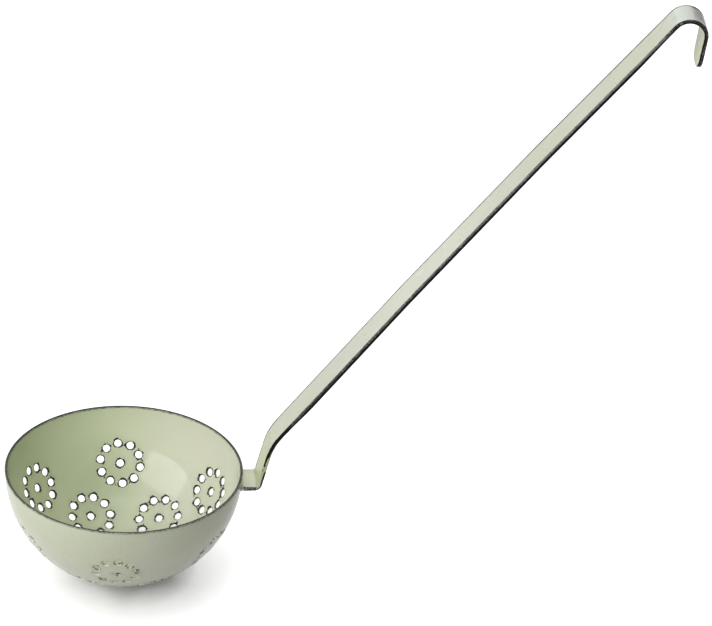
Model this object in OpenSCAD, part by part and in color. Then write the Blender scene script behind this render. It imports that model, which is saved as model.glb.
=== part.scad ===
// Enamelled straining ladle: a pierced half-round bowl on a flat strap handle with a hanging hook.
// Lengths are in millimetres and angles in degrees. The rim is level and the handle leans towards +X.
// The origin is on the axis of the hanging hook, at the middle of the strap's width.

/* [Bowl] */
// Outer diameter of the bowl
bowl_d = 120; // [100:1:150]
// Thickness of the bowl's wall, steel and enamel together
bowl_wall = 1.2; // [0.8:0.1:2]
// Thickness of the dark enamel over the rim
rim_coat = 0.2; // [0.1:0.05:0.5]
// Depth to which the dark enamel comes down the rim
rim_coat_depth = 1; // [0.6:0.1:3]

/* [Drain holes] */
// Diameter of one drain hole
hole_d = 4; // [2.4:0.1:4.6]
// Radius of a flower's ring of holes, measured along the outer wall
flower_r = 10.6; // [9:0.1:12]
// Number of holes in a flower's ring, round its middle hole
ring_holes = 10; // [5:1:12]
// Turn of each ring of holes in its flower
ring_turn = 11.5; // [0:0.5:36]
// Number of flowers in each of the two rows
row_flowers = 6; // [3:1:6]
// Dip of the upper row of flowers below the rim
upper_dip = 30; // [27:0.5:33]
// Dip of the lower row of flowers below the rim
lower_dip = 55; // [53:0.5:58]
// Turn of the whole pattern from the handle
pattern_turn = -5; // [-10:0.5:10]

/* [Foot of the handle] */
// Drop of the foot's upper face below the rim
foot_drop = 7.3; // [4:0.1:12]
// Reach of the level foot from the wall to its bend
foot_reach = 6; // [3:0.1:15]
// Inner radius of the bend between foot and riser
foot_bend_r = 1.6; // [0.8:0.1:6]
// Leg of the weld fillet round the foot
weld_leg = 1.2; // [0.6:0.1:2.5]

/* [Strap] */
// Width of the strap from the foot to the knee
strap_w = 17; // [12:0.5:24]
// Thickness of the strap, steel and enamel together
strap_t = 2.4; // [1.6:0.1:4]
// Slope of the riser
riser_slope = 76; // [65:1:85]
// Length of the straight riser
riser_len = 16.2; // [8:0.1:30]
// Inner radius of the knee between riser and shaft
knee_r = 31.6; // [10:0.1:60]
// Slope of the shaft where it leaves the knee
shaft_slope = 52; // [40:0.5:60]
// Angle by which the shaft bows over its length, half of it at each of two slight bends
shaft_bow = 2; // [0.5:0.25:5]
// Radius of the shaft's two slight bends
bow_r = 300; // [100:10:600]
// Length of the shaft
shaft_len = 297.5; // [150:0.5:400]
// Thickness of the dark enamel on the strap's narrow edges
edge_coat = 0.2; // [0.1:0.05:0.5]

/* [Hook] */
// Inner radius of the hook
hook_r = 7.3; // [5:0.1:15]
// Width of the strap at the hook
hook_w = 15.8; // [10:0.1:24]
// Slope of the hook's limb, below level
limb_slope = 98; // [80:1:110]
// Length of the hook's limb, to its tip
limb_len = 18; // [8:0.5:30]
// Corner radius of the tip
tip_r = 6; // [1:0.5:8]

/* [Hidden] */

// Degrees by which each flower of the two rows strays from its even place, as on the hand-set original
upper_strays = [0.5, 3.5, 0.5, -1, -2, -0.5];
lower_strays = [-1.5, 0.5, 0, 0, 0, 0];

bowl_r = bowl_d / 2;
flower_angle = flower_r / bowl_r * 180 / PI;
// How far a cutting body reaches past the wall that it cuts
past = 1;
// Side of a cube that covers the whole bowl
block = 2 * (bowl_r + past);
// How far one stretch of strap laps into the next, so that they join as one piece
lap = 0.02;

// A station is [x, height, heading] on the strap's upper face, seen from the side.
// The stations follow the strap from the bowl to the hook, in a frame centred on the bowl's rim.
function ahead(s, len) = [s.x + len * cos(s.z), s.y + len * sin(s.z), s.z];
function bend_centre(s, r, turn) = [s.x - sign(turn) * r * sin(s.z), s.y + sign(turn) * r * cos(s.z)];
function past_bend(s, r, turn) =
    let (c = bend_centre(s, r, turn), side = sign(turn), h = s.z + turn)
    [c.x + side * r * sin(h), c.y - side * r * cos(h), h];

// Radii of the upper face: inner radius where the strap bends up, outer radius where it bends down
knee_face_r = knee_r + strap_t;
hook_face_r = hook_r + strap_t;

knee_turn = shaft_slope - riser_slope;
bow_turn = -shaft_bow / 2;
shaft_third = (shaft_len - bow_r * shaft_bow * PI / 180) / 3;
hook_turn = -limb_slope - (shaft_slope - shaft_bow);

foot_at = [sqrt(pow(bowl_r, 2) - pow(foot_drop, 2)), -foot_drop, 0];
bend_at = ahead(foot_at, foot_reach);
riser_at = past_bend(bend_at, foot_bend_r, riser_slope);
knee_at = ahead(riser_at, riser_len);
shaft_at = past_bend(knee_at, knee_face_r, knee_turn);
low_bow_at = ahead(shaft_at, shaft_third);
middle_at = past_bend(low_bow_at, bow_r, bow_turn);
high_bow_at = ahead(middle_at, shaft_third);
top_at = past_bend(high_bow_at, bow_r, bow_turn);
hook_at = ahead(top_at, shaft_third);
limb_at = past_bend(hook_at, hook_face_r, hook_turn);
hook_axis = bend_centre(hook_at, hook_face_r, hook_turn);

// The foot starts this far inside the wall, and is then cut to the bowl's round
foot_root = strap_w / 2;
widest = max(strap_w, hook_w);
hook_end_x = hook_axis.x + hook_face_r + past;
tip_corner_r = min(tip_r, hook_w / 2 - past);

// Height of a prism that reaches over the whole strap
tall = 4 * (shaft_len + bowl_d);

// Moves the bowl's frame so that the hook's axis is at the origin
module placed() {
    translate([-hook_axis.x, 0, -hook_axis.y]) children();
}

// Stands the strap's side view up: its height along Z and its width along Y
module upright() {
    rotate([90, 0, 0]) children();
}

// One drain hole, square to the wall
module drain_hole() {
    translate([bowl_r - bowl_wall - past, 0, 0])
        rotate([0, 90, 0]) cylinder(h = bowl_wall + 2 * past, d = hole_d, $fn = 32);
}

// A middle hole and its ring, centred on the +X side of the bowl
module flower() {
    drain_hole();
    for (i = [0 : ring_holes - 1])
        rotate([ring_turn + i * 360 / ring_holes, 0, 0]) rotate([0, 0, flower_angle]) drain_hole();
}

// A row of flowers round the bowl
module flower_row(dip, first, strays) {
    for (i = [0 : row_flowers - 1])
        rotate([0, 0, first + i * 360 / row_flowers + strays[i]]) rotate([0, dip, 0]) flower();
}

module all_flowers() {
    half_step = 180 / row_flowers;
    flower_row(upper_dip, pattern_turn + half_step, upper_strays);
    flower_row(lower_dip, pattern_turn + 2 * half_step, lower_strays);
    rotate([0, 90, 0]) flower();
}

// The wall of the bowl, grown by a coat on both faces and cut level at the top
module bowl_shell(coat, top) {
    difference() {
        sphere(r = bowl_r + coat, $fn = 180);
        sphere(r = bowl_r - bowl_wall - coat, $fn = 180);
        translate([0, 0, top + block / 2]) cube(block, center = true);
    }
}

module bowl() {
    color("#c3cfa6") placed() difference() {
        bowl_shell(0, -rim_coat);
        all_flowers();
    }
}

// Dark enamel wrapped over the cut edge of the bowl
module rim_edging() {
    color("#2f332d") placed() difference() {
        bowl_shell(rim_coat, 0);
        bowl_shell(0, -rim_coat);
        translate([0, 0, -rim_coat_depth - block / 2]) cube(block, center = true);
    }
}

// A straight stretch of strap, its upper face starting at a station, with a lap at both ends
module straight(s, len) {
    translate([s.x, s.y, 0]) rotate([0, 0, s.z])
        translate([-lap, -strap_t, -widest / 2]) cube([len + 2 * lap, strap_t, widest]);
}

// A bent stretch of strap: turn is positive where it bends up, and r is the upper face's radius
module bend(s, r, turn, sides = 96) {
    centre = bend_centre(s, r, turn);
    inner = turn > 0 ? r : r - strap_t;
    start = turn > 0 ? s.z - 90 : s.z + 90 + turn;
    translate([centre.x, centre.y, 0]) rotate([0, 0, start])
        rotate_extrude(angle = abs(turn), $fn = sides)
            translate([inner, -widest / 2]) square([strap_t, widest]);
}

// The whole strap but its limb, at its widest
module blank() {
    straight([foot_at.x - foot_root, foot_at.y, 0], foot_reach + foot_root);
    bend(bend_at, foot_bend_r, riser_slope);
    straight(riser_at, riser_len);
    bend(knee_at, knee_face_r, knee_turn);
    straight(shaft_at, shaft_third);
    bend(low_bow_at, bow_r, bow_turn, 720);
    straight(middle_at, shaft_third);
    bend(high_bow_at, bow_r, bow_turn, 720);
    straight(top_at, shaft_third);
    bend(hook_at, hook_face_r, hook_turn);
}

// Half of the strap's plan, from its middle to its edge, which tapers from the knee to the hook.
// The edge steps in by a coat where the dark edging starts.
module half_plan(coat) {
    foot_w = strap_w / 2;
    end_w = hook_w / 2;
    polygon([
        [foot_at.x - foot_root - past, 0],
        [foot_at.x - foot_root - past, foot_w],
        [bend_at.x, foot_w],
        [bend_at.x, foot_w - coat],
        [shaft_at.x, foot_w - coat],
        [hook_at.x, end_w - coat],
        [hook_end_x, end_w - coat],
        [hook_end_x, 0]
    ]);
}

// The thin strip of the plan that the edging takes up
module edge_plan() {
    foot_w = strap_w / 2;
    end_w = hook_w / 2;
    polygon([
        [bend_at.x, foot_w],
        [shaft_at.x, foot_w],
        [hook_at.x, end_w],
        [hook_end_x, end_w],
        [hook_end_x, end_w - edge_coat],
        [hook_at.x, end_w - edge_coat],
        [shaft_at.x, foot_w - edge_coat],
        [bend_at.x, foot_w - edge_coat]
    ]);
}

// A plan raised to a prism, on both sides of the strap's middle
module both_sides() {
    for (side = [0, 1]) mirror([0, 0, side]) rotate([90, 0, 0])
        linear_extrude(tall, center = true) children();
}

// Outline of the limb with its rounded tip, taken in by a coat
module limb_outline(coat) {
    half_w = hook_w / 2 - coat;
    corner_r = tip_corner_r - coat;
    middle_w = half_w - corner_r;
    length = limb_len - coat;
    translate([-lap, -half_w]) square([lap + length - corner_r, 2 * half_w]);
    translate([-lap, -middle_w]) square([lap + length, 2 * middle_w]);
    for (side = [-1, 1]) translate([length - corner_r, side * middle_w]) circle(r = corner_r, $fn = 64);
}

module limb() {
    translate([limb_at.x, limb_at.y, 0]) rotate([0, 0, limb_at.z])
        rotate([90, 0, 0]) linear_extrude(strap_t) children();
}

module handle_strap() {
    color("#cdd5b8") placed() difference() {
        upright() {
            intersection() {
                blank();
                both_sides() half_plan(edge_coat);
            }
            limb() limb_outline(edge_coat);
        }
        sphere(r = bowl_r, $fn = 180);
    }
}

// Dark enamel along both narrow edges, from the foot's bend to the hook, and round the tip
module strap_edging() {
    color("#1f211d") placed() upright() {
        intersection() {
            blank();
            both_sides() edge_plan();
        }
        limb() difference() {
            limb_outline(0);
            limb_outline(edge_coat);
        }
    }
}

// A low collar against the wall, round the end of the foot
module foot_weld() {
    collar_w = strap_w + 2 * weld_leg;
    collar_h = strap_t + 2 * weld_leg;
    color("#b3bf95") placed() difference() {
        intersection() {
            sphere(r = bowl_r + weld_leg, $fn = 180);
            translate([foot_at.x - foot_root, -collar_w / 2, -foot_drop - strap_t - weld_leg])
                cube([foot_root + foot_reach, collar_w, collar_h]);
        }
        sphere(r = bowl_r, $fn = 180);
        upright() intersection() {
            blank();
            both_sides() half_plan(edge_coat);
        }
    }
}

bowl();
rim_edging();
handle_strap();
strap_edging();
foot_weld();
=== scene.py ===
"""Looks of the enamelled straining ladle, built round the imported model. Lengths are in millimetres until a mesh is made."""
import math

import bpy
from mathutils import Matrix, Vector, noise
from mathutils.geometry import delaunay_2d_cdt


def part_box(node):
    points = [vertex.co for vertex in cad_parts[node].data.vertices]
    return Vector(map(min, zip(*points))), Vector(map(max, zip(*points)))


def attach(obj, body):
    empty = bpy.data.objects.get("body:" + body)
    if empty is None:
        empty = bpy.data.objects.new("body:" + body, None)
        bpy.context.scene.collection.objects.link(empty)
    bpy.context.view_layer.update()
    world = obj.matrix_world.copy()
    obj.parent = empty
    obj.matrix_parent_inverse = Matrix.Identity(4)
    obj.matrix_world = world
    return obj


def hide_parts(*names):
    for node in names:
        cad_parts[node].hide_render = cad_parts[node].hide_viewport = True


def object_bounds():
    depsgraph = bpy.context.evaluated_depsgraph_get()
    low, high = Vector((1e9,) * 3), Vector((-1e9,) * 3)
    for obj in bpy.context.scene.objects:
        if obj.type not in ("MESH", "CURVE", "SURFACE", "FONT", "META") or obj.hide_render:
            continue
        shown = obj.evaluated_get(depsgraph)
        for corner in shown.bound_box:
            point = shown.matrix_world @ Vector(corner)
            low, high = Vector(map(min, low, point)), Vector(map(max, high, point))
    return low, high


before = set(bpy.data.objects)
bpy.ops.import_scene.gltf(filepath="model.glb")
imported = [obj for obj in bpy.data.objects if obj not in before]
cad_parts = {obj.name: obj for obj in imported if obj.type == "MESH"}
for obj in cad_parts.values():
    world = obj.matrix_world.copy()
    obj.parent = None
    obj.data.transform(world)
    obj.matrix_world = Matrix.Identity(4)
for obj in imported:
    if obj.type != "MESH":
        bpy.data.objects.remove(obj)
cad_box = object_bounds()

MM = 0.001
BODY = "root"

# Camera: the photograph's pitch, roll and turn about the handle, its focal length in pixels, and the rim's place in it
PICTURE = (712, 626)
FOCAL_PX = 6254
PITCH = math.radians(31.002)
ROLL = math.radians(-2.168)
HANDLE_TURN = math.radians(6.116)
RIM_DISTANCE = 3158.75
RIM_PIXEL = (123.88, 468.03)
SENSOR = 36

# Bowl
BOWL_R = 60
WALL = 1.2
HOLE_R = 2
LIP_R = WALL / 2
FLOWER_R = 10.6
RING_HOLES = 10
RING_TURN = 11.5
ROW_FLOWERS = 6
UPPER_DIP = 30
LOWER_DIP = 55
PATTERN_TURN = -5
UPPER_STRAYS = (0.5, 3.5, 0.5, -1, -2, -0.5)
LOWER_STRAYS = (-1.5, 0.5, 0, 0, 0, 0)
RIM_COAT = 0.2

# Strap, with each bend's radius on the upper face
FOOT_DROP = 7.3
FOOT_REACH = 6
FOOT_BEND_R = 1.6
STRAP_W = 17
STRAP_T = 2.4
RISER_SLOPE = 76
RISER_LEN = 16.2
KNEE_R = 31.6 + STRAP_T
SHAFT_SLOPE = 52
SHAFT_BOW = 2
BOW_R = 300
SHAFT_LEN = 297.5
EDGE_COAT = 0.2
HOOK_R = 7.3 + STRAP_T
HOOK_W = 15.8
LIMB_SLOPE = 98
LIMB_LEN = 18
TIP_R = 6
WELD_LEG = 1.2

rim_low, rim_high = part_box("rim_edging")
RIM_CENTRE = Vector(((rim_low.x + rim_high.x) / 2, 0, rim_high.z)) / MM


def wander(x, y, z, seed=0):
    """Smooth noise from about -1 to 1."""
    return noise.noise(Vector((x, y, z + 37.7 * seed)))


def make_piece(name, verts, faces, material, replaced, attributes=()):
    """A smooth mesh from points in millimetres round the rim's centre, riding on the body in place of a CAD node."""
    mesh = bpy.data.meshes.new(name)
    mesh.from_pydata([(Vector(v) + RIM_CENTRE) * MM for v in verts], [], faces)
    mesh.shade_smooth()
    for label, values in attributes:
        layer = mesh.attributes.new(label, "FLOAT", "POINT")
        layer.data.foreach_set("value", values)
    mesh.materials.append(material)
    mesh.validate()
    piece = bpy.data.objects.new(name, mesh)
    bpy.context.scene.collection.objects.link(piece)
    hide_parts(replaced)
    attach(piece, BODY)
    return piece


# The bowl

BAND_COLUMNS = 240
BAND_DIPS = (0.76, 1.6, 2.8, 4.4, 6.4, 8.8, 11.4, 14)
HOLE_SIDES = 28
LIP_STEPS = 8
LIP_RHO = HOLE_R + LIP_R
# Ground coat gathers in an uneven bead inside each hole
BEAD = 0.13
BEAD_LUMP = 1.3
COLLAR_RHO = 2.95
CLEAR_RHO = 3.9
FILL_STEP = 1.9
FAR_GAP = 9.0


def turned(axis, degrees):
    return Matrix.Rotation(math.radians(degrees), 3, axis)


def flower_axes(turn_z, dip):
    """Directions of one flower's holes: its middle hole and its ring."""
    place = turned("Z", turn_z) @ turned("Y", dip)
    spread = math.degrees(FLOWER_R / BOWL_R)
    axes = [place @ Vector((1, 0, 0))]
    for i in range(RING_HOLES):
        ring = turned("X", RING_TURN + i * 360 / RING_HOLES) @ turned("Z", spread)
        axes.append(place @ ring @ Vector((1, 0, 0)))
    return axes


def hole_axes():
    step = 360 / ROW_FLOWERS
    axes = flower_axes(0, 90)
    for i in range(ROW_FLOWERS):
        axes += flower_axes(PATTERN_TURN + (i + 0.5) * step + UPPER_STRAYS[i], UPPER_DIP)
        axes += flower_axes(PATTERN_TURN + (i + 1) * step + LOWER_STRAYS[i], LOWER_DIP)
    return axes


def dip_direction(dip, turn):
    d, a = math.radians(dip), math.radians(turn)
    return Vector((math.cos(d) * math.cos(a), math.cos(d) * math.sin(a), -math.sin(d)))


def flattened(direction):
    """Equal-area map of the lower half of the ball to a disc."""
    scale = math.sqrt(2 / (1 - direction.z))
    return Vector((direction.x, direction.y)) * scale


def raised(point):
    """The direction that the map takes to this point."""
    q = point.length_squared
    k = math.sqrt(max(0, 1 - q / 4))
    return Vector((point.x * k, point.y * k, q / 2 - 1))


def round_axis(axis, rho, r, angle):
    """A point at distance r from the ball's centre and rho from a hole's axis."""
    across = axis.orthogonal().normalized()
    along = axis.cross(across)
    out = across * math.cos(angle) + along * math.sin(angle)
    return axis * math.sqrt(r * r - rho * rho) + out * rho


def bowl_surface(axes):
    """Directions of the wall's points, its triangles and quads, and each hole's lip as a ring of point numbers."""
    dirs = []
    faces = []
    columns = range(BAND_COLUMNS)
    for dip in BAND_DIPS:
        dirs += [dip_direction(dip, c * 360 / BAND_COLUMNS) for c in columns]
    for row in range(len(BAND_DIPS) - 1):
        for c in columns:
            a = row * BAND_COLUMNS + c
            b = row * BAND_COLUMNS + (c + 1) % BAND_COLUMNS
            faces.append((a, a + BAND_COLUMNS, b + BAND_COLUMNS, b))
    edge_start = len(dirs) - BAND_COLUMNS

    lips = []
    for axis in axes:
        start = len(dirs)
        for rho in (LIP_RHO, COLLAR_RHO):
            for k in range(HOLE_SIDES):
                dirs.append(round_axis(axis, rho, BOWL_R, k * math.tau / HOLE_SIDES) / BOWL_R)
        lips.append(list(range(start, start + HOLE_SIDES)))

    step = FILL_STEP / BOWL_R
    reach = flattened(dip_direction(BAND_DIPS[-1], 0)).length - 0.6 * step
    clear = math.cos(CLEAR_RHO / BOWL_R)
    count = int(reach / step) + 2
    for j in range(-count, count + 1):
        for i in range(-count, count + 1):
            point = Vector(((i + (j % 2) / 2) * step, j * step * math.sqrt(3) / 2))
            if point.length < reach:
                direction = raised(point)
                if all(direction.dot(axis) < clear for axis in axes):
                    dirs.append(direction)

    flat = [flattened(d) for d in dirs[edge_start:]]
    loops = [list(range(BAND_COLUMNS))] + [[i - edge_start for i in lip] for lip in lips]
    edges = [(loop[k - 1], loop[k]) for loop in loops for k in range(len(loop))]
    found = delaunay_2d_cdt(flat, edges, [], 0, 1e-7)
    origin = [ids[0] for ids in found[3]]
    hole_of = {i: n for n, lip in enumerate(lips) for i in lip}
    for triangle in found[2]:
        a, b, c = (origin[i] + edge_start for i in triangle)
        inside = hole_of.get(a, -1)
        if inside < 0 or inside != hole_of.get(b) or inside != hole_of.get(c):
            faces.append((a, b, c))
    return dirs, faces, lips


def build_bowl(material):
    axes = hole_axes()
    dirs, skin, lips = bowl_surface(axes)
    inner_r = BOWL_R - WALL
    mid_r = BOWL_R - WALL / 2
    count = len(dirs)
    verts = [d * BOWL_R for d in dirs] + [d * inner_r for d in dirs]

    # Distance to the nearest hole's bore, along the wall
    gaps = []
    for d in dirs:
        nearest = min(1 - d.dot(axis) for axis in axes)
        gaps.append(min(FAR_GAP, BOWL_R * math.sqrt(2 * max(0, nearest)) - HOLE_R))
    gaps = gaps + gaps
    depths = [0.0] * count + [1.0] * count

    faces = []
    for face in skin:
        a, b, c = (dirs[i] for i in face[:3])
        outward = (b - a).cross(c - b).dot(a) > 0
        ordered = face if outward else face[::-1]
        faces.append(tuple(ordered))
        faces.append(tuple(i + count for i in ordered[::-1]))

    # Rounded lips through the wall
    for axis, lip in zip(axes, lips):
        rings = [lip]
        for k in range(1, LIP_STEPS):
            bend = math.pi * k / LIP_STEPS
            r = mid_r + LIP_R * math.cos(bend)
            smooth_rho = LIP_RHO * r / BOWL_R - LIP_R * math.sin(bend)
            start = len(verts)
            for j in range(HOLE_SIDES):
                angle = j * math.tau / HOLE_SIDES
                place = round_axis(axis, smooth_rho, r, angle) / BEAD_LUMP
                bead = BEAD * (1 + 1.6 * wander(*place, 41)) * math.sin(bend) ** 2
                verts.append(round_axis(axis, smooth_rho - bead, r, angle))
                gaps.append(smooth_rho - HOLE_R)
                depths.append((BOWL_R - r) / WALL)
            rings.append(list(range(start, start + HOLE_SIDES)))
        rings.append([i + count for i in lip])
        for upper, lower in zip(rings, rings[1:]):
            for j in range(HOLE_SIDES):
                faces.append((upper[j - 1], upper[j], lower[j], lower[j - 1]))

    # Half-round top edge
    rings = [list(range(BAND_COLUMNS))]
    for k in range(1, LIP_STEPS):
        bend = math.pi * k / LIP_STEPS
        start = len(verts)
        for c in range(BAND_COLUMNS):
            out = mid_r + LIP_R * math.cos(bend)
            turn = math.radians(c * 360 / BAND_COLUMNS)
            up = -RIM_COAT - LIP_R + LIP_R * math.sin(bend)
            verts.append(Vector((out * math.cos(turn), out * math.sin(turn), up)))
            gaps.append(FAR_GAP)
            depths.append(0.5)
        rings.append(list(range(start, start + BAND_COLUMNS)))
    rings.append([c + count for c in range(BAND_COLUMNS)])
    for upper, lower in zip(rings, rings[1:]):
        for c in range(BAND_COLUMNS):
            faces.append((upper[c - 1], upper[c], lower[c], lower[c - 1]))
    attributes = [("hole_gap", gaps), ("depth", depths)]
    return make_piece("bowl_shell", verts, faces, material, "bowl", attributes)


RIM_COLUMNS = 720
RIM_SIDE_STEPS = 4
RIM_TOP_STEPS = 14
RIM_DEPTH_INSIDE = 0.35
RIM_DEPTH_OUTSIDE = 0.12
RIM_DEPTH_LEAST = 0.03
RIM_SINK = 0.04
RIM_CLEAR = 0.01
# Tone of the rim's coat by the bend round its bead, from its outer side over the top to its inner side. Its pale inner
# side is partly a thin coat and partly a painted highlight
RIM_TONES = ((32, 0.9), (72, 0.0), (128, 0.0), (152, 0.8))


def along(place, stops):
    """A smooth course through pairs of place and value."""
    if place <= stops[0][0]:
        return stops[0][1]
    for (start, low), (end, high) in zip(stops, stops[1:]):
        if place < end:
            share = (place - start) / (end - start)
            return low + (high - low) * share * share * (3 - 2 * share)
    return stops[-1][1]


def rim_depth(turn, inside):
    """How far the dark enamel comes down the rim, which wanders as a dipped edge does."""
    x, y = 9 * math.cos(turn), 9 * math.sin(turn)
    slow = wander(x / 3, y / 3, 0, 1 + inside)
    quick = wander(x * 2.3, y * 2.3, 0, 3 + inside)
    mean = RIM_DEPTH_INSIDE if inside else RIM_DEPTH_OUTSIDE
    return max(RIM_DEPTH_LEAST, mean * (1 + 0.8 * slow + 0.5 * quick))


def rim_tone(bend, turn):
    """Black on top of the bead, brushed thin on its outer side, and pale on its inner side, partly a thin coat and
    partly a painted highlight. bend is in degrees.
    """
    stray = 9 * wander(5 * math.cos(turn), 5 * math.sin(turn), 0, 6)
    stray += 7 * wander(30 * math.cos(turn), 30 * math.sin(turn), 0, 7)
    return along(bend + stray, RIM_TONES)


def build_rim_edging(material):
    verts = []
    faces = []
    tones = []
    mid_r = BOWL_R - WALL / 2
    bead_z = -RIM_COAT - LIP_R
    bead_r = LIP_R + RIM_COAT - RIM_CLEAR
    for c in range(RIM_COLUMNS):
        turn = c * math.tau / RIM_COLUMNS
        outline = []
        for side, inside in ((1, 0), (-1, 1)):
            depth = rim_depth(turn, inside)
            stretch = []
            for k in range(RIM_SIDE_STEPS):
                share = k / RIM_SIDE_STEPS
                lift = -RIM_SINK + (bead_r - LIP_R + RIM_SINK) * math.sin(share * math.pi / 2)
                stretch.append((mid_r + side * (LIP_R + lift), bead_z - depth * (1 - share)))
            outline.append(stretch)
        bends = [180 * k / RIM_TOP_STEPS for k in range(RIM_TOP_STEPS + 1)]
        top = []
        for bend in map(math.radians, bends):
            top.append((mid_r + bead_r * math.cos(bend), bead_z + bead_r * math.sin(bend)))
        core = [(mid_r - LIP_R / 2, bead_z), (mid_r + LIP_R / 2, bead_z)]
        loop = outline[0] + top + outline[1][::-1] + core
        for out, up in loop:
            verts.append((out * math.cos(turn), out * math.sin(turn), up))
        tones += [1.0] * RIM_SIDE_STEPS
        tones += [rim_tone(bend, turn) for bend in bends]
        tones += [1.0] * (RIM_SIDE_STEPS + len(core))
    sides = len(loop)
    for c in range(RIM_COLUMNS):
        a, b = c * sides, (c + 1) % RIM_COLUMNS * sides
        for k in range(sides):
            n = (k + 1) % sides
            faces.append((a + k, b + k, b + n, a + n))
    return make_piece("rim_edging_coat", verts, faces, material, "rim_edging",
                      [("tone", tones)])


# The strap

def bend_length(r, degrees):
    return r * math.radians(abs(degrees))


SHAFT_THIRD = (SHAFT_LEN - bend_length(BOW_R, SHAFT_BOW)) / 3
HOOK_TURN = -LIMB_SLOPE - (SHAFT_SLOPE - SHAFT_BOW)
# Stretches of the strap from the bowl to the tip, each with its length on the upper face and its turn
STRETCHES = (
    (FOOT_REACH, 0),
    (bend_length(FOOT_BEND_R, RISER_SLOPE), RISER_SLOPE),
    (RISER_LEN, 0),
    (bend_length(KNEE_R, SHAFT_SLOPE - RISER_SLOPE), SHAFT_SLOPE - RISER_SLOPE),
    (SHAFT_THIRD, 0),
    (bend_length(BOW_R, SHAFT_BOW / 2), -SHAFT_BOW / 2),
    (SHAFT_THIRD, 0),
    (bend_length(BOW_R, SHAFT_BOW / 2), -SHAFT_BOW / 2),
    (SHAFT_THIRD, 0),
    (bend_length(HOOK_R, HOOK_TURN), HOOK_TURN),
    (LIMB_LEN, 0),
)


def strap_stations():
    """Start of each stretch: way along the strap, x, height and heading."""
    way = 0
    x, up = math.sqrt(BOWL_R ** 2 - FOOT_DROP ** 2), -FOOT_DROP
    heading = 0
    stations = []
    for length, degrees in STRETCHES:
        stations.append((way, x, up, heading))
        turn = math.radians(degrees)
        chord = length if turn == 0 else 2 * length / turn * math.sin(turn / 2)
        x += chord * math.cos(heading + turn / 2)
        up += chord * math.sin(heading + turn / 2)
        heading += turn
        way += length
    return stations, way


STATIONS, STRAP_LEN = strap_stations()
BEND_AT = STATIONS[1][0]
RISER_AT = STATIONS[2][0]
KNEE_AT = STATIONS[3][0]
SHAFT_AT = STATIONS[4][0]
HOOK_AT = STATIONS[9][0]
LIMB_AT = STATIONS[10][0]


def on_strap(way, side, above):
    """Point at a way along the strap, sideways from its middle line, and above its middle plane."""
    i = max(k for k, station in enumerate(STATIONS) if k == 0 or station[0] <= way)
    start, x, up, heading = STATIONS[i]
    length, degrees = STRETCHES[i]
    done = way - start
    turn = math.radians(degrees) * done / length
    chord = done if turn == 0 else 2 * done / turn * math.sin(turn / 2)
    x += chord * math.cos(heading + turn / 2)
    up += chord * math.sin(heading + turn / 2)
    face = heading + turn
    lift = above - STRAP_T / 2
    return Vector((x - lift * math.sin(face), side, up + lift * math.cos(face)))


CORNER_R = 0.5
CORNER_STEPS = 6
FACE_COLUMNS = 8
CROWN = 0.07
ROOT = -1.1


def half_width(way):
    """Half of the steel strap's width, without the dark edging."""
    full = STRAP_W / 2
    if way < SHAFT_AT:
        step = min(1, max(0, (way - BEND_AT) / 3))
        return full - EDGE_COAT * step
    share = min(1, (way - SHAFT_AT) / (HOOK_AT - SHAFT_AT))
    return full - EDGE_COAT + (HOOK_W - STRAP_W) / 2 * share


def outline_rows(step):
    """Rows of the strap's plan: way, half width, and the direction in which its outline faces there."""
    tip_way = STRAP_LEN - EDGE_COAT - TIP_R
    ways = [ROOT]
    for (start, x, up, heading), (length, degrees) in zip(STATIONS, STRETCHES):
        end = min(start + length, tip_way)
        pieces = max(1, math.ceil((end - start) / step), math.ceil(abs(degrees) / 4))
        ways += [start + (end - start) * k / pieces for k in range(pieces)]
    rows = [(way, half_width(way), 0.0) for way in ways]
    turns = max(8, math.ceil(TIP_R * math.pi / 2 / step))
    rows += [(tip_way, half_width(tip_way), k / turns * math.pi / 2) for k in range(turns + 1)]
    return rows


def plan_point(row, side, inset):
    """Way and sideways place of a point inside the outline, on one side."""
    way, half, facing = row
    corner = TIP_R - inset
    if facing == 0:
        return way, side * (half - inset)
    return way + corner * math.sin(facing), side * (half - TIP_R + corner * math.cos(facing))


def edge_profile():
    """Inset and height of the strap's rounded narrow side, from its lower to its upper face."""
    flat = STRAP_T / 2 - CORNER_R
    profile = []
    for sign in (-1, 1):
        for k in range(CORNER_STEPS + 1):
            bend = (k / CORNER_STEPS - (sign < 0)) * math.pi / 2
            inset = CORNER_R * (1 - math.cos(bend))
            profile.append((inset, sign * flat + CORNER_R * math.sin(bend)))
    return profile


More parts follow.
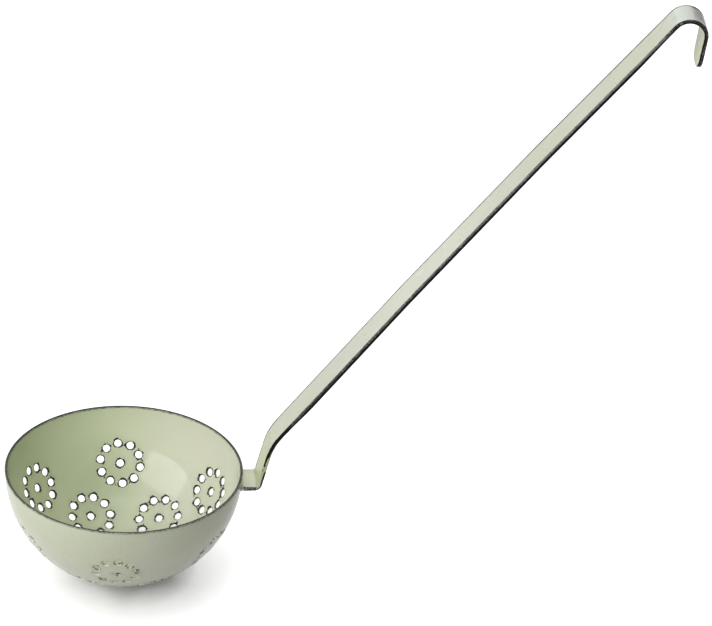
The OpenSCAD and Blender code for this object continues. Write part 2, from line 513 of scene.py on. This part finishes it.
def build_strap(material):
    profile = edge_profile()
    rows = outline_rows(2.2)
    verts = []
    faces = []
    face_share = [c / FACE_COLUMNS for c in range(1, FACE_COLUMNS)]

    def face_point(row, share, above):
        left = plan_point(row, -1, CORNER_R)
        right = plan_point(row, 1, CORNER_R)
        side = left[1] + (right[1] - left[1]) * share
        sink = CROWN * (2 * share - 1) ** 2
        return on_strap(left[0], side, above - math.copysign(sink, above))

    def edge_point(row, side, inset, above):
        way, place = plan_point(row, side, inset)
        return on_strap(way, place, above - math.copysign(CROWN, above) * min(1, inset / CORNER_R))

    for row in rows:
        for inset, above in profile:
            verts.append(edge_point(row, -1, inset, above))
        for share in face_share:
            verts.append(face_point(row, share, STRAP_T / 2))
        for inset, above in profile[::-1]:
            verts.append(edge_point(row, 1, inset, above))
        for share in face_share[::-1]:
            verts.append(face_point(row, share, -STRAP_T / 2))
    sides = len(verts) // len(rows)
    ways = [row[0] for row in rows for k in range(sides)]
    # Level: 1 on the upper face, which turns outward at the hook, and -1 on the lower face
    rise = [above / (STRAP_T / 2) for inset, above in profile]
    levels = (rise + [1.0] * len(face_share) + rise[::-1] + [-1.0] * len(face_share)) * len(rows)
    for r in range(len(rows) - 1):
        a, b = r * sides, (r + 1) * sides
        for k in range(sides):
            n = (k + 1) % sides
            faces.append((a + k, b + k, b + n, a + n))

    # Root inside the wall, and the straight end of the tip
    for base, flip in ((0, False), (len(rows) * sides - sides, True)):
        count = len(profile)
        grid = []
        for j in range(count):
            left, right = base + j, base + count + len(face_share) + count - 1 - j
            line = [left]
            for c, share in enumerate(face_share):
                if j == count - 1:
                    line.append(base + count + c)
                elif j == 0:
                    line.append(base + sides - 1 - c)
                else:
                    line.append(len(verts))
                    verts.append(Vector(verts[left]).lerp(Vector(verts[right]), share))
                    ways.append(ways[left])
                    levels.append(levels[left])
            grid.append(line + [right])
        for upper, lower in zip(grid, grid[1:]):
            for c in range(FACE_COLUMNS):
                face = (upper[c], upper[c + 1], lower[c + 1], lower[c])
                faces.append(face[::-1] if flip else face)
    return make_piece("handle_strap_body", verts, faces, material, "handle_strap",
                      [("way", ways), ("level", levels)])


FLAT = STRAP_T / 2 - CORNER_R
CORNER_LEN = CORNER_R * math.pi / 2
SKIN_COLUMNS = 16
SKIN_DEPTH = 0.1
SKIN_SINK = 0.04
FACE_LIFT = 0.012
# Each streak's ways, reach, half height, tone, thickness and seed
FOOT_STREAKS = (
    (0.2, 8.4, -0.95, 0.58, 0.12, 0.3, 31),
    (7.4, 16.6, -0.85, 0.62, 0.04, 0.3, 32),
    (1.4, 6.9, 0.35, 0.75, 0.85, 0.06, 33),
    (0.2, 2.0, 0.6, 0.6, 0.02, 0.1, 34),
    (15.6, 17.8, 0.95, 0.3, 0.03, 0.08, 35),
)


def section_point(reach, lift, bead):
    """Inset and height of a point at a reach up or down round the narrow side, lifted off the steel."""
    sign = 1 if reach >= 0 else -1
    far = abs(reach)
    if far < FLAT:
        return -lift - bead, sign * far
    # The coat thins towards the face, so that it stays within the strap's thickness
    round_share = min(1, (far - FLAT) / CORNER_LEN)
    thinned = lift - max(0, lift - FACE_LIFT) * round_share + bead
    if round_share < 1:
        bend = round_share * math.pi / 2
        away = CORNER_R + thinned
        return CORNER_R - away * math.cos(bend), sign * (FLAT + away * math.sin(bend))
    return CORNER_R + far - FLAT - CORNER_LEN, sign * (STRAP_T / 2 + thinned)


def crown_sink(half, inset):
    """How far a face lies below the crown of the strap's middle line."""
    if inset < CORNER_R:
        return CROWN * max(0, inset) / CORNER_R
    return CROWN * (1 - (inset - CORNER_R) / (half - CORNER_R)) ** 2


class Coat:
    """Closed strips of dark enamel over the strap's narrow sides, with a tone from 0, black, to 1, pale: a thin coat,
    and on the near side's upper half a painted highlight.
    """

    def __init__(self):
        self.verts = []
        self.faces = []
        self.tones = []

    def add(self, rows, lows, highs, thick, tone, bead=None):
        """One strip. lows and highs give its reach round the narrow side at each row."""
        start = len(self.verts)
        columns = range(SKIN_COLUMNS + 1)
        for (side, row), low, high in zip(rows, lows, highs):
            for outer in (True, False):
                for c in columns if outer else columns[::-1]:
                    share = c / SKIN_COLUMNS
                    reach = low + (high - low) * share
                    swell = math.sqrt(max(0, 1 - (2 * share - 1) ** 6))
                    lift = (thick + SKIN_SINK) * swell - SKIN_SINK if outer else -SKIN_DEPTH
                    proud = bead(side, row[0], reach) * swell if bead and outer else 0
                    inset, above = section_point(reach, lift, proud)
                    sink = crown_sink(row[1], inset)
                    way, place = plan_point(row, side, inset)
                    self.verts.append(on_strap(way, place, above - math.copysign(sink, above)))
                    self.tones.append(tone(side, way, reach))
        sides = 2 * len(columns)
        for n in range(len(rows) - 1):
            a, b = start + n * sides, start + (n + 1) * sides
            for k in range(sides):
                m = (k + 1) % sides
                self.faces.append((a + k, a + m, b + m, b + k))
        self.faces.append(tuple(range(start, start + sides))[::-1])
        last = start + (len(rows) - 1) * sides
        self.faces.append(tuple(range(last, last + sides)))


NEAR, FAR = -1, 1
FULL_REACH = 1.9
# Where the main strip begins on each side of the riser
NEAR_START = 18.4
FAR_START = 8.2
# Reach of the main strip, up and down from the middle of each narrow side, at ways along the strap
NEAR_HIGH = (
    (NEAR_START, 1.0), (26, 1.25), (50, 1.1), (100, 0.95), (HOOK_AT - 20, 1.0), (HOOK_AT, 1.25),
    (LIMB_AT, 1.4), (STRAP_LEN, 1.45),
)
NEAR_LOW = (
    (NEAR_START, 0.5), (23.5, 0.0), (25.5, -0.75), (33, -0.85), (40, -0.95), (47, -1.2),
    (56, -FULL_REACH), (HOOK_AT, -FULL_REACH), (HOOK_AT + 12, -1.25), (LIMB_AT - 3, -0.95),
    (STRAP_LEN, -1.05),
)
FAR_HIGH = (
    (FAR_START, 2.7), (24, 2.45), (60, 2.2), (200, 2.3), (HOOK_AT, 2.4), (HOOK_AT + 8, 2.0),
    (HOOK_AT + 14, 3.3), (HOOK_AT + 18, 3.6), (LIMB_AT - 2, 3.4), (LIMB_AT + 4, 2.0), (STRAP_LEN, 1.45),
)
FAR_RAGGED = ((HOOK_AT + 6, 0.0), (HOOK_AT + 16, 0.8), (LIMB_AT, 0.3))
# A bead of dark enamel along the shaft's near lower corner
BEAD_HIGH = 0.55
BEAD_REACH = -1.2
BEAD_HALF = 0.7
BEAD_WAYS = ((44, 0.0), (62, 1.0), (HOOK_AT - 30, 1.0), (HOOK_AT - 4, 0.0))


def corner_bead(side, way, reach):
    """How far the enamel stands proud at the corner."""
    away = (reach - BEAD_REACH) / BEAD_HALF
    if side == FAR or abs(away) >= 1:
        return 0
    return BEAD_HIGH * along(way, BEAD_WAYS) * (1 - away * away) ** 2


def brushed(way, seed):
    """How a brushed line strays, more so at its ragged lower end and round the hook."""
    ragged = along(way, ((NEAR_START, 0.4), (34, 0.16), (60, 0.1), (HOOK_AT, 0.1), (HOOK_AT + 10, 0.25)))
    return 0.1 * wander(way / 23, 0, 0, seed) + ragged * wander(way / 2.6, 0, 0, seed + 5)


FAR_TONE = (
    (FAR_START, 0.0), (16, 0.1), (24, 0.3), (150, 0.2), (250, 0.03), (HOOK_AT, 0.15), (HOOK_AT + 8, 0.5),
    (HOOK_AT + 14, 0.05),
)
# The near side's painted highlight: its strength along the strap, and across the narrow side
NEAR_TONE = (
    (42, 0.0), (56, 0.3), (85, 0.38), (150, 0.7), (270, 1.0), (HOOK_AT - 12, 1.0), (HOOK_AT - 2, 0.15),
    (HOOK_AT + 18, 0.15), (LIMB_AT - 4, 0.1),
)
NEAR_TONE_ACROSS = ((-0.25, 0.0), (-0.05, 1.0), (0.9, 1.0), (1.25, 0.5))


def main_tone(side, way, reach):
    """The near side's upper half is painted greyer along the shaft and over the hook, as a painted highlight from the
    light above on its rounded edge.
    """
    if side == FAR:
        return along(way, FAR_TONE)
    stray = 0.12 * wander(way / 9, 0, 0, 16)
    return along(way, NEAR_TONE) * along(reach + stray, NEAR_TONE_ACROSS)


def build_strap_edging(material):
    coat = Coat()
    rows = outline_rows(0.7)
    near = [(NEAR, row) for row in rows if row[0] > NEAR_START]
    far = [(FAR, row) for row in rows if row[0] > FAR_START]
    main = near + far[::-1]
    lows = []
    highs = []
    for side, (way, half, facing) in main:
        if side == NEAR:
            low = along(way, NEAR_LOW) + brushed(way, 12)
            high = along(way, NEAR_HIGH) + brushed(way, 14)
        else:
            low = along(way, ((LIMB_AT, -FULL_REACH), (STRAP_LEN - 4, -1.05))) + brushed(way, 11)
            high = along(way, FAR_HIGH) + brushed(way, 13)
            high += along(way, FAR_RAGGED) * wander(way / 1.8, 0, 0, 17)
        lows.append(low)
        highs.append(max(high, low + 0.2))
    coat.add(main, lows, highs, EDGE_COAT, main_tone, corner_bead)

    # Thin lines and streaks on the near side of the foot and riser
    for start, end, reach, half, tone, thick, seed in FOOT_STREAKS:
        strip = [(NEAR, row) for row in rows if start <= row[0] <= end]
        middles = [reach + 0.12 * wander(row[0] / 1.7, 0, 0, seed) for side, row in strip]
        halves = []
        for side, row in strip:
            taper = math.sqrt(max(0.02, 1 - (2 * (row[0] - start) / (end - start) - 1) ** 4))
            halves.append(half * taper * (1 + 0.45 * wander(row[0] / 1.1, 0, 0, seed + 3)))
        lows = [middle - part for middle, part in zip(middles, halves)]
        highs = [middle + part for middle, part in zip(middles, halves)]
        coat.add(strip, lows, highs, thick, lambda side, way, reach: tone)
    return make_piece("strap_edging_coat", coat.verts, coat.faces, material, "strap_edging",
                      [("tone", coat.tones)])


# The weld

WELD_STEPS = 6
WELD_ROOT = 0.3


def build_weld(material):
    """A concave fillet of enamel round the strap, where it meets the wall."""
    half = STRAP_W / 2
    loop = []
    for side in (-1, 1):
        profile = edge_profile()
        for n, (inset, above) in enumerate(profile if side < 0 else profile[::-1]):
            tilt = (n / (len(profile) - 1) - 0.5) * math.pi * (1 if side < 0 else -1)
            loop.append((side * (half - inset), above, side * math.cos(tilt), math.sin(tilt)))
        # Points across the face that follows
        face = STRAP_T / 2 * (1 if side < 0 else -1)
        for c in range(1, FACE_COLUMNS):
            share = c / FACE_COLUMNS * 2 - 1
            loop.append((-side * share * (half - CORNER_R), face, 0, math.copysign(1, face)))
    verts = []
    faces = []
    mid = -FOOT_DROP - STRAP_T / 2
    for side, above, out_y, out_z in loop:
        leg = WELD_LEG * (0.85 + 0.15 * wander(side / 3, above / 2, 0, 21))
        arc = []
        for k in range(WELD_STEPS + 1):
            bend = k / WELD_STEPS * math.pi / 2
            arc.append((leg * (1 - math.cos(bend)), leg * (1 - math.sin(bend))))
        arc[0] = (-0.04, leg)
        arc[-1] = (leg, -0.04)
        for forth, out in arc + [(-WELD_ROOT, -WELD_ROOT)]:
            y = side + out * out_y
            z = mid + above + out * out_z
            verts.append((math.sqrt(BOWL_R ** 2 - y * y - z * z) + forth, y, z))
    sides = WELD_STEPS + 2
    for n in range(len(loop)):
        a, b = n * sides, (n + 1) % len(loop) * sides
        for k in range(sides):
            m = (k + 1) % sides
            faces.append((a + k, b + k, b + m, a + m))
    return make_piece("foot_weld_fillet", verts, faces, material, "foot_weld")


# Materials

PALE_GREEN = (0.77, 0.80, 0.635, 1)
FULL_GREEN = (0.73, 0.775, 0.575, 1)
INNER_PAINTED_LIGHT = (0.81, 0.81, 0.67, 1)
INNER_PAINTED_BOUNCE = (0.81, 0.92, 0.59, 1)
INNER_PAINTED_SHADE = (0.56, 0.68, 0.38, 1)
SHADE_PLACE = (-9, 45, -37)
SHADE_REACH = 30
THIN_GREEN = (0.60, 0.66, 0.40, 1)
FLECK_GREEN = (0.60, 0.64, 0.42, 1)
STRAP_PALE = (0.72, 0.74, 0.62, 1)
STRAP_FULL = (0.69, 0.72, 0.56, 1)
SHAFT_HIGHLIGHT = (0.80, 0.82, 0.69, 1)
FOOT_PAINTED_LIGHT = (0.84, 0.87, 0.68, 1)
PAINTED_SHADE_GREEN = (0.58, 0.63, 0.33, 1)
OLIVE_GREEN = (0.46, 0.48, 0.27, 1)
HOOK_GREEN = (0.72, 0.77, 0.70, 1)
PATCH_GREEN = (0.60, 0.68, 0.48, 1)
GROUND_COAT = (0.006, 0.007, 0.006, 1)
BORE_PALE_AND_PAINTED_LIGHT = (0.88, 0.90, 0.80, 1)
SPOT_OLIVE = (0.13, 0.14, 0.07, 1)
STAIN_OLIVE = (0.09, 0.10, 0.06, 1)
RIM_DARK = (0.02, 0.026, 0.012, 1)
RIM_WORN = (0.22, 0.22, 0.21, 1)
STRAP_WEAR_AND_GLINT = (0.45, 0.45, 0.43, 1)
THIN_COAT_AND_HIGHLIGHT = (0.33, 0.31, 0.31, 1)
RIM_THIN_AND_HIGHLIGHT = (0.60, 0.64, 0.50, 1)


class Nodes:
    """The node tree of a material or world, with short calls for the nodes used here."""

    def __init__(self, owner):
        owner.use_nodes = True
        self.material = owner
        self.tree = owner.node_tree
        self.shader = self.tree.nodes.get("Principled BSDF")
        self.place = self.add("ShaderNodeTexCoord").outputs["Object"]

    def add(self, kind, inputs=None, **settings):
        node = self.tree.nodes.new(kind)
        for key, value in settings.items():
            setattr(node, key, value)
        for key, value in (inputs or {}).items():
            self.put(node.inputs[key], value)
        return node

    def put(self, socket, value):
        if isinstance(value, bpy.types.NodeSocket):
            self.tree.links.new(value, socket)
        else:
            socket.default_value = value

    def noise(self, scale, detail=2, roughness=0.5):
        inputs = {"Vector": self.place, "Scale": scale, "Detail": detail, "Roughness": roughness}
        return self.add("ShaderNodeTexNoise", inputs).outputs["Fac"]

    def attribute(self, name):
        return self.add("ShaderNodeAttribute", attribute_name=name).outputs["Fac"]

    def math(self, operation, a, b=0.0):
        return self.add("ShaderNodeMath", {0: a, 1: b}, operation=operation).outputs[0]

    def ramp(self, value, low, high, to_low=0.0, to_high=1.0):
        inputs = {"Value": value, "From Min": low, "From Max": high, "To Min": to_low, "To Max": to_high}
        return self.add("ShaderNodeMapRange", inputs, interpolation_type="SMOOTHSTEP").outputs[0]

    def mix(self, share, a, b):
        return self.add("ShaderNodeMix", {0: share, 6: a, 7: b}, data_type="RGBA").outputs[2]

    def bump(self, height, distance, normal=None):
        inputs = {"Height": height, "Strength": 1.0, "Distance": distance}
        if normal is not None:
            inputs["Normal"] = normal
        return self.add("ShaderNodeBump", inputs).outputs["Normal"]

    def set(self, **inputs):
        for key, value in inputs.items():
            self.put(self.shader.inputs[key.replace("_", " ")], value)


def cloudy_green(n, pale, full, clouds=26):
    """Soft clouds between two greens, with fine mottling and a few dark pits."""
    colour = n.mix(n.ramp(n.noise(clouds, 3), 0.35, 0.65), pale, full)
    fleck = n.ramp(n.noise(1000, 3), 0.42, 0.72, 0.0, 0.3)
    colour = n.mix(fleck, colour, FLECK_GREEN)
    cells = n.add("ShaderNodeTexVoronoi", {"Vector": n.place, "Scale": 95.0})
    drawn = n.add("ShaderNodeSeparateColor", {0: cells.outputs["Color"]}).outputs[0]
    chosen = n.math("GREATER_THAN", drawn, 0.93)
    pit = n.math("MULTIPLY", n.ramp(cells.outputs["Distance"], 0.035, 0.02), chosen)
    return n.mix(n.math("MULTIPLY", pit, 0.7), colour, GROUND_COAT)


def finish_green(n, colour, roughness=0.06, shine=0.5):
    """The gloss and the faint ripple of fired enamel."""
    rough = n.ramp(n.noise(60, 3), 0.3, 0.7, roughness, roughness * 1.5)
    n.set(Base_Color=colour, Roughness=rough, IOR=1.5, Specular_IOR_Level=shine)
    ripple = n.bump(n.noise(170, 1), 0.00002)
    n.set(Normal=n.bump(n.noise(900, 2), 0.000004, ripple))
    return n.material


def bowl_enamel():
    n = Nodes(bpy.data.materials.new("bowl_enamel"))
    gap = n.attribute("hole_gap")
    depth = n.attribute("depth")
    colour = cloudy_green(n, PALE_GREEN, FULL_GREEN)

    # The inside is painted greener and brighter away from the handle, as green light bounced onto that shaded wall,
    # and paler towards it, as painted light where the lamps fall
    place = n.add("ShaderNodeSeparateXYZ", {0: n.place}).outputs
    far_side = n.ramp(place["X"], (RIM_CENTRE.x + 50) * MM, (RIM_CENTRE.x - 40) * MM, 0.0, 1.0)
    inner = n.mix(far_side, INNER_PAINTED_LIGHT, INNER_PAINTED_BOUNCE)
    # Painted light: paler again on the near side of the inside, where light falls
    inner = n.mix(n.ramp(place["Y"], 22 * MM, -12 * MM, 0.0, 0.8), inner, BORE_PALE_AND_PAINTED_LIGHT)

    # Painted shade: a darker, greener patch inside on the back wall
    centre = (RIM_CENTRE + Vector(SHADE_PLACE)) * MM
    away = n.add("ShaderNodeVectorMath", {0: n.place, 1: centre}, operation="DISTANCE").outputs["Value"]
    inner = n.mix(n.ramp(away, SHADE_REACH * MM, 0.0, 0.0, 0.7), inner, INNER_PAINTED_SHADE)
    colour = n.mix(n.ramp(depth, 0.5, 0.95, 0.0, 0.8), colour, inner)

    # Greener round the holes, where the enamel is thin, and pale again in the outer half of their bores: partly a pale
    # coat there and partly a painted highlight
    near = n.math("MULTIPLY", n.ramp(gap, 3.6, 0.6), 0.3)
    colour = n.mix(near, colour, THIN_GREEN)
    bore = n.math("MULTIPLY", n.ramp(gap, 0.45, 0.1), n.ramp(depth, 0.75, 0.55, 0.0, 0.85))
    colour = n.mix(bore, colour, BORE_PALE_AND_PAINTED_LIGHT)

    # The ground coat shows in an uneven ring round each hole inside, and down the inner half of its bore
    lumps = n.ramp(n.noise(330, 1), 0.38, 0.66, 0.0, 0.6)
    ragged = n.ramp(n.noise(1300, 2), 0.3, 0.7, 0.1, 0.6)
    ring = n.ramp(n.math("SUBTRACT", n.math("ADD", lumps, ragged), gap), -0.05, 0.07)
    inside = n.math("MULTIPLY", ring, n.ramp(depth, 0.58, 0.74))

    # Outside there are only a few small olive spots at the lips
    spots = n.math("MULTIPLY", n.ramp(n.noise(420, 1), 0.48, 0.58, 0.0, 0.9), n.ramp(gap, 0.6, 0.3))
    outside = n.math("MULTIPLY", spots, n.ramp(depth, 0.6, 0.4))
    colour = n.mix(outside, colour, SPOT_OLIVE)
    return finish_green(n, n.mix(inside, colour, GROUND_COAT))


def strap_enamel():
    """Enamel of the strap: a painted highlight along the shaft, painted light on the foot, painted shade on the riser,
    which is yellower, and inside the limb, and paler and bluer on top of the hook.
    """
    n = Nodes(bpy.data.materials.new("strap_enamel"))
    way = n.attribute("way")
    colour = cloudy_green(n, STRAP_PALE, STRAP_FULL)
    # A painted highlight along the middle of the shaft
    shaft = n.math("MULTIPLY", n.ramp(way, 90, 140, 0.0, 0.9), n.ramp(way, 215, 170))
    colour = n.mix(shaft, colour, SHAFT_HIGHLIGHT)
    # Painted shade: darker and yellower on the riser
    colour = n.mix(n.ramp(way, 42, 20, 0.0, 0.9), colour, PAINTED_SHADE_GREEN)
    # Painted light: paler on the foot
    colour = n.mix(n.ramp(way, RISER_AT + 6, BEND_AT, 0.0, 0.9), colour, FOOT_PAINTED_LIGHT)
    level = n.attribute("level")
    on_top = n.ramp(level, -0.8, 0.2)
    bluer = n.math("MULTIPLY", n.ramp(way, HOOK_AT - 8, HOOK_AT + 6, 0.0, 0.8), on_top)
    colour = n.mix(bluer, colour, HOOK_GREEN)

    # Painted shade, darker and greener, inside the limb, and stained on the hook's shoulder
    within = n.math("MULTIPLY", n.ramp(way, LIMB_AT - 10, LIMB_AT, 0.0, 0.55), n.ramp(level, 0.2, -0.8))
    colour = n.mix(within, colour, PAINTED_SHADE_GREEN)
    shoulder = n.math("MULTIPLY", n.ramp(way, HOOK_AT + 10, HOOK_AT + 17), n.ramp(way, LIMB_AT + 5, LIMB_AT - 3))
    across = n.add("ShaderNodeSeparateXYZ", {0: n.place}).outputs["Y"]
    shoulder = n.math("MULTIPLY", shoulder, n.ramp(across, -6 * MM, -3 * MM))
    stained = n.math("MULTIPLY", shoulder, n.ramp(n.noise(450, 3, 0.6), 0.35, 0.55, 0.25, 0.95))
    colour = n.mix(n.math("MULTIPLY", stained, on_top), colour, STAIN_OLIVE)
    patch = n.ramp(n.noise(150, 3), 0.48, 0.66, 0.0, 0.6)
    patch = n.math("MULTIPLY", patch, n.ramp(way, HOOK_AT - 40, HOOK_AT - 20))
    return finish_green(n, n.mix(patch, colour, PATCH_GREEN), 0.2, 0.4)


def weld_enamel():
    """Enamel painted pale as the foot is, as painted light, and thinner and so more olive at the fillet's near end."""
    n = Nodes(bpy.data.materials.new("weld_enamel"))
    across = n.add("ShaderNodeSeparateXYZ", {0: n.place}).outputs["Y"]
    near_end = n.ramp(across, -6 * MM, -STRAP_W / 2 * MM, 0.1, 0.6)
    return finish_green(n, n.mix(near_end, cloudy_green(n, FOOT_PAINTED_LIGHT, STRAP_FULL), OLIVE_GREEN), 0.15)


def dark_enamel(name, full, thin, wear_and_glint_colour, shine):
    """Dark ground coat. Where its tone rises it is paler: brushed thin, and on the strap's near side and the rim's
    inner side a painted highlight too. There it is specked with a grey that stands for wear, and on the strap for
    painted glints too.
    """
    n = Nodes(bpy.data.materials.new(name))
    tone = n.attribute("tone")
    mottled = n.math("MULTIPLY", tone, n.ramp(n.noise(620, 3, 0.6), 0.3, 0.6, 0.3, 1.0))
    colour = n.mix(mottled, full, thin)
    wear_and_glint = n.math("MULTIPLY", n.ramp(tone, 0.03, 0.13), n.ramp(n.noise(700, 3, 0.6), 0.53, 0.62, 0.0, 0.6))
    colour = n.mix(wear_and_glint, colour, wear_and_glint_colour)
    n.set(Base_Color=colour, Roughness=n.ramp(n.noise(500, 3), 0.3, 0.7, 0.2, 0.4), IOR=1.45)
    n.set(Specular_IOR_Level=shine, Normal=n.bump(n.noise(700, 3), 0.00003))
    return n.material


# Stage, camera and lights

FLOOR_SIZE = 8
FLOOR_SHADE = 0.6
FLOOR_SHADE_SEEN = 0.65
FLOOR_LIFT = 0.73
FLOOR_LIFT_MIRRORED = 0.5
# Soft shade round the bowl and dark shade at its foot: reach in metres, turn and height it opens to, and strength
WIDE_SHADE = (0.03, -140, 60, 0.6)
TIGHT_SHADE = (0.011, -60, 45, 1.0)


def open_share(n, reach, turn, height, power):
    """Share of a tilted half room above the floor that the part leaves open within a reach."""
    towards = light_direction(turn, height)
    tilt = n.add("ShaderNodeCombineXYZ", {0: towards.x, 1: towards.y, 2: towards.z}).outputs[0]
    inputs = {"Distance": reach, "Normal": tilt}
    share = n.add("ShaderNodeAmbientOcclusion", inputs, samples=8).outputs["AO"]
    # The floor itself closes off a part of what the tilted normal faces
    return n.math("POWER", n.math("DIVIDE", share, (1 + towards.z) / 2), power)


def build_floor():
    """A white floor. It is lifted to white where it is seen, but less so close to the bowl."""
    mesh = bpy.data.meshes.new("floor")
    z = cad_box[0].z
    half = FLOOR_SIZE / 2
    mesh.from_pydata([(-half, -half, z), (half, -half, z), (half, half, z), (-half, half, z)], [], [(0, 1, 2, 3)])
    floor = bpy.data.objects.new("floor", mesh)
    bpy.context.scene.collection.objects.link(floor)
    n = Nodes(bpy.data.materials.new("floor_white"))
    rays = n.add("ShaderNodeLightPath").outputs
    shade = n.ramp(rays["Is Camera Ray"], 0.0, 1.0, FLOOR_SHADE, FLOOR_SHADE_SEEN)
    n.set(Base_Color=n.add("ShaderNodeCombineColor", {0: shade, 1: shade, 2: shade}).outputs[0], Roughness=0.9)
    mirrored = n.math("MAXIMUM", rays["Is Glossy Ray"], rays["Is Transmission Ray"])
    seen_lift = n.math("MULTIPLY", rays["Is Camera Ray"], FLOOR_LIFT)
    lift = n.math("MAXIMUM", seen_lift, n.math("MULTIPLY", mirrored, FLOOR_LIFT_MIRRORED))
    shade_share = n.math("MULTIPLY", open_share(n, *WIDE_SHADE), open_share(n, *TIGHT_SHADE))
    strength = n.math("MULTIPLY", lift, shade_share)
    glow = n.add("ShaderNodeEmission", {"Color": (1, 1, 1, 1), "Strength": strength}).outputs[0]
    lifted = n.add("ShaderNodeAddShader", {0: n.shader.outputs[0], 1: glow}).outputs[0]
    n.put(n.tree.nodes["Material Output"].inputs["Surface"], lifted)
    mesh.materials.append(n.material)


ROOM_TURN = -45
ROOM_HEIGHT = 20
ROOM_LIGHT = 0.88


def build_world():
    """A white room, seen as plain white and brightest on the left of the camera."""
    world = bpy.data.worlds.new("studio")
    bpy.context.scene.world = world
    n = Nodes(world)
    rays = n.add("ShaderNodeLightPath").outputs
    mirrored = n.math("MAXIMUM", rays["Is Glossy Ray"], rays["Is Transmission Ray"])
    seen = n.math("MAXIMUM", rays["Is Camera Ray"], mirrored)
    way = n.add("ShaderNodeTexCoord").outputs["Generated"]
    side = light_direction(ROOM_TURN, ROOM_HEIGHT)
    facing = n.add("ShaderNodeVectorMath", {0: way, 1: side}, operation="DOT_PRODUCT").outputs["Value"]
    glow = n.math("POWER", n.math("MAXIMUM", facing, 0.0), 2.0)
    strength = n.math("MAXIMUM", seen, n.math("MULTIPLY", glow, ROOM_LIGHT))
    background = n.tree.nodes["Background"]
    n.put(background.inputs["Color"], (1, 1, 1, 1))
    n.put(background.inputs["Strength"], strength)


def view_axes():
    """The camera's right, down and forward directions in the part's frame."""
    turn, pitch = HANDLE_TURN, PITCH
    forward = Vector((math.sin(turn) * math.cos(pitch), math.cos(turn) * math.cos(pitch), -math.sin(pitch)))
    level_right = Vector((math.cos(turn), -math.sin(turn), 0))
    level_down = forward.cross(level_right)
    right = math.cos(ROLL) * level_right + math.sin(ROLL) * level_down
    down = math.cos(ROLL) * level_down - math.sin(ROLL) * level_right
    return right, down, forward


def build_camera():
    right, down, forward = view_axes()
    across = (RIM_PIXEL[0] - PICTURE[0] / 2) / FOCAL_PX
    below = (RIM_PIXEL[1] - PICTURE[1] / 2) / FOCAL_PX
    sight = (right * across + down * below + forward).normalized()
    camera = bpy.data.objects.new("camera", bpy.data.cameras.new("camera"))
    bpy.context.scene.collection.objects.link(camera)
    camera.data.sensor_width = SENSOR
    camera.data.lens = FOCAL_PX / PICTURE[0] * SENSOR
    camera.data.clip_start = 0.1
    camera.data.clip_end = 50
    place = (RIM_CENTRE - sight * RIM_DISTANCE) * MM
    turn = Matrix((right, -down, -forward)).transposed()
    camera.matrix_world = Matrix.Translation(place) @ turn.to_4x4()
    bpy.context.scene.camera = camera


def light_direction(turn, height):
    """Direction from the bowl. Turn 0 is the camera's side, and 90 is to its right."""
    level = math.radians(turn) - HANDLE_TURN
    up = math.radians(height)
    return Vector((math.sin(level) * math.cos(up), -math.cos(level) * math.cos(up), math.sin(up)))


def build_light(name, turn, height, distance, size, power):
    """A soft light on a rectangle that faces the bowl."""
    away = light_direction(turn, height)
    data = bpy.data.lights.new(name, "AREA")
    data.shape = "RECTANGLE"
    data.size, data.size_y = size
    data.energy = power
    light = bpy.data.objects.new(name, data)
    bpy.context.scene.collection.objects.link(light)
    light.location = RIM_CENTRE * MM + away * distance
    light.rotation_mode = "QUATERNION"
    light.rotation_quaternion = (-away).to_track_quat("-Z", "Y")


def build_lights():
    build_light("key", -48, 28, 1.6, (1.4, 1.0), 8.3)
    build_light("side", -80, 35, 1.6, (1.4, 1.0), 1.4)
    build_light("front", 0, 55, 1.6, (1.4, 1.0), 1.5)
    build_light("top", 0, 80, 1.6, (1.4, 1.0), 3.4)
    build_light("back", 180, 40, 1.6, (1.4, 1.0), 6.8)


# The making

scene = bpy.context.scene
scene.view_settings.view_transform = "Standard"
build_camera()
build_floor()
build_world()
build_lights()
build_bowl(bowl_enamel())
build_rim_edging(dark_enamel("rim_dark_enamel", RIM_DARK, RIM_THIN_AND_HIGHLIGHT, RIM_WORN, 0.22))
build_strap(strap_enamel())
build_strap_edging(dark_enamel("strap_dark_enamel", GROUND_COAT, THIN_COAT_AND_HIGHLIGHT, STRAP_WEAR_AND_GLINT, 0.12))
build_weld(weld_enamel())
